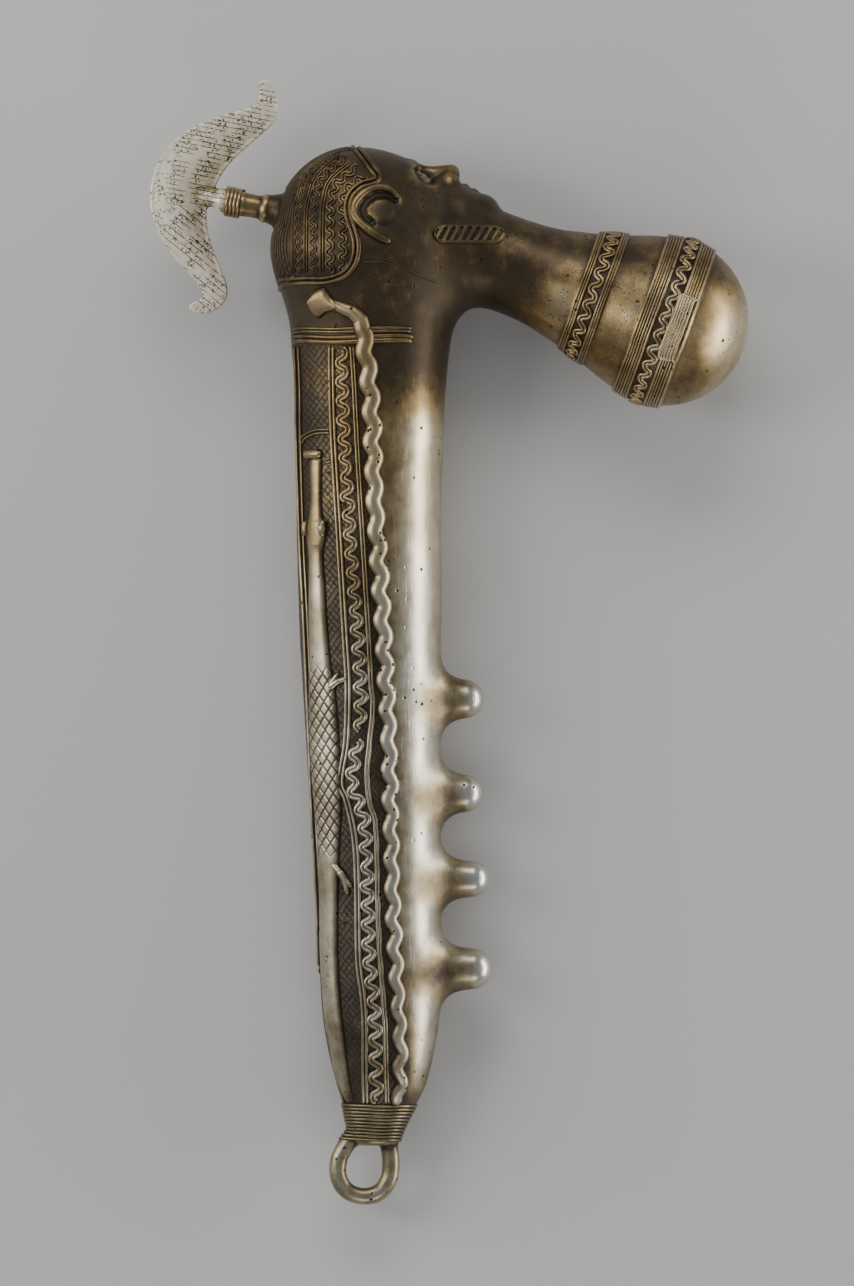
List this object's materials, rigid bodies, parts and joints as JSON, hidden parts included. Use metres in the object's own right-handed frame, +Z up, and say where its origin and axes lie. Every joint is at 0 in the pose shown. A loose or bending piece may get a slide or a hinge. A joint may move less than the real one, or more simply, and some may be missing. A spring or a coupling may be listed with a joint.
{
  "type": "ceremonial mace",
  "caption": "Ceremonial mace cast in copper alloy: a pegged, ornamented grip with a hanging ring, a head whose beard runs out into a round club, and a crescent blade on the crown.",
  "frame": {"origin": "bottom centre of the box of the mace as it lies on its side, on the ground", "axes": "+Y along the grip from the hanging ring to the crescent, +X from the back of the grip towards the pegs and the club, +Z up through the cheek that shows"},
  "size_m": [0.213, 0.3992, 0.0651],
  "materials": {
    "cast_brass": "worn cast brass, pale where it is rubbed, dark grey-brown in the hollows and on the head"
  },
  "bodies": {
    "root": {"cast_mace": "cast_brass"}
  },
  "joints": []
}
